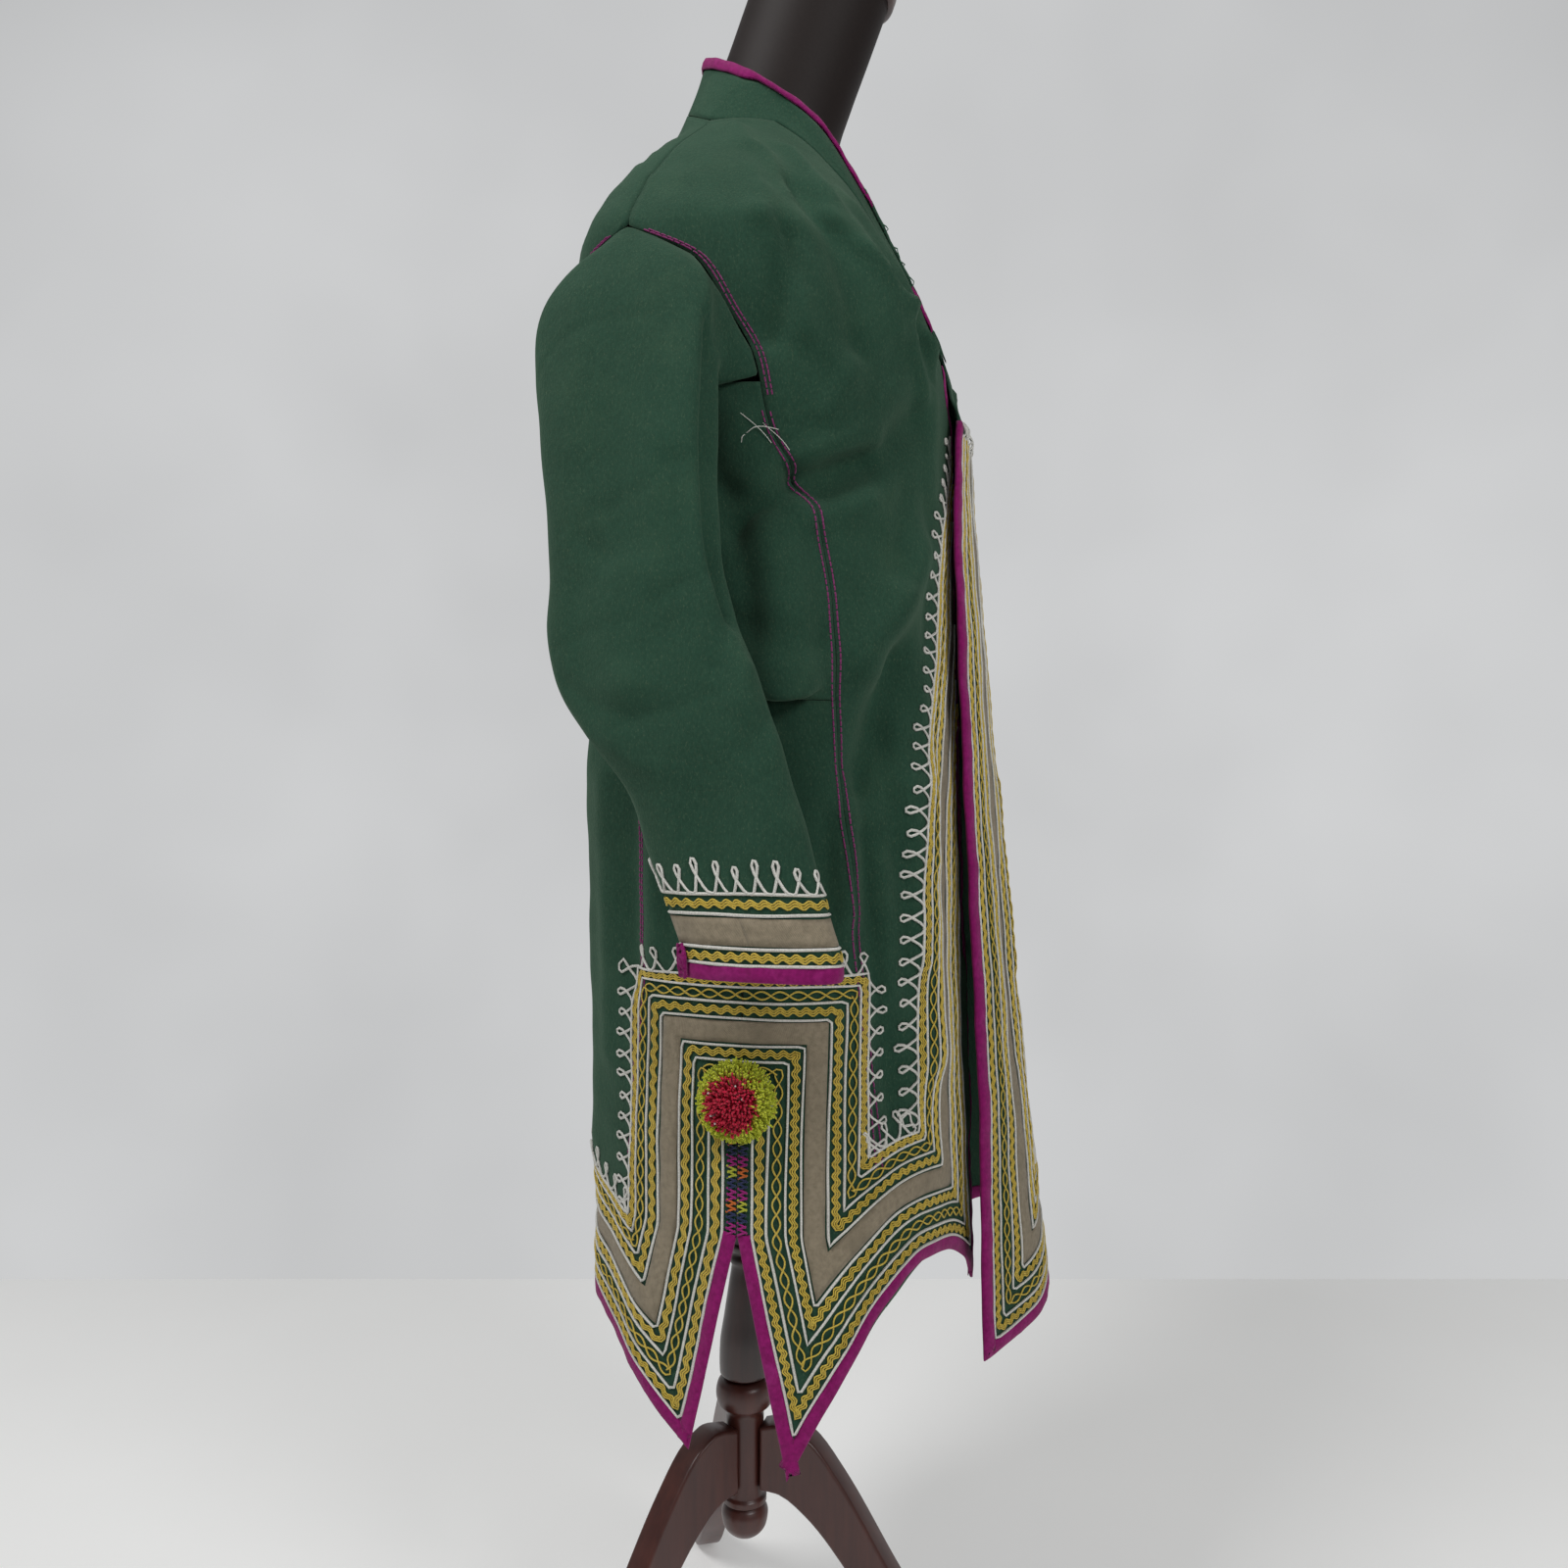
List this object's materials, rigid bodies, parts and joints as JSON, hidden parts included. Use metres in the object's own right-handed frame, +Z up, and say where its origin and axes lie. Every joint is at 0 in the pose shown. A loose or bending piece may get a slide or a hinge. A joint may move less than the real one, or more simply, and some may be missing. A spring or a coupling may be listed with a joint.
{
  "type": "felt chapan coat on a limbless dress form with a tripod stand",
  "caption": "Knee-length felt robe with open front, standing neckband, side vents with pompoms and bound edges, worn by a limbless dress form on a turned tripod stand",
  "frame": {"origin": "centre of the bounding box in x and y, on the floor under the stand's feet", "axes": "+Z up, -Y the way the coat's front faces, +X the wearer's left"},
  "size_m": [0.5466, 0.427, 1.6356],
  "materials": {
    "felt": "dark green felted wool",
    "binding": "magenta woven edge binding",
    "yarn": "cut wool yarn, yellow-green round red",
    "form_cover": "dark brown stretched cover",
    "cap_wood": "reddish-brown varnish",
    "stand_wood": "dark reddish varnish",
    "post_wood": "near-black varnish"
  },
  "bodies": {
    "root": {"front_right": "felt", "front_left": "felt", "back": "felt", "gore_right_front": "felt", "gore_right_back": "felt", "gore_left_front": "felt", "gore_left_back": "felt", "gusset_right": "felt", "gusset_left": "felt", "sleeve_right": "felt", "sleeve_left": "felt", "neckband": "felt", "neckband_binding": "binding", "front_binding_right": "binding", "front_binding_left": "binding", "back_binding": "binding", "cuff_binding_right": "binding", "cuff_binding_left": "binding", "pompom_right": "yarn", "pompom_left": "yarn", "dress_form": "form_cover", "neck_cap": "cap_wood", "post": "post_wood", "column": "stand_wood", "leg_front": "stand_wood", "leg_back_right": "stand_wood", "leg_back_left": "stand_wood"}
  },
  "joints": []
}
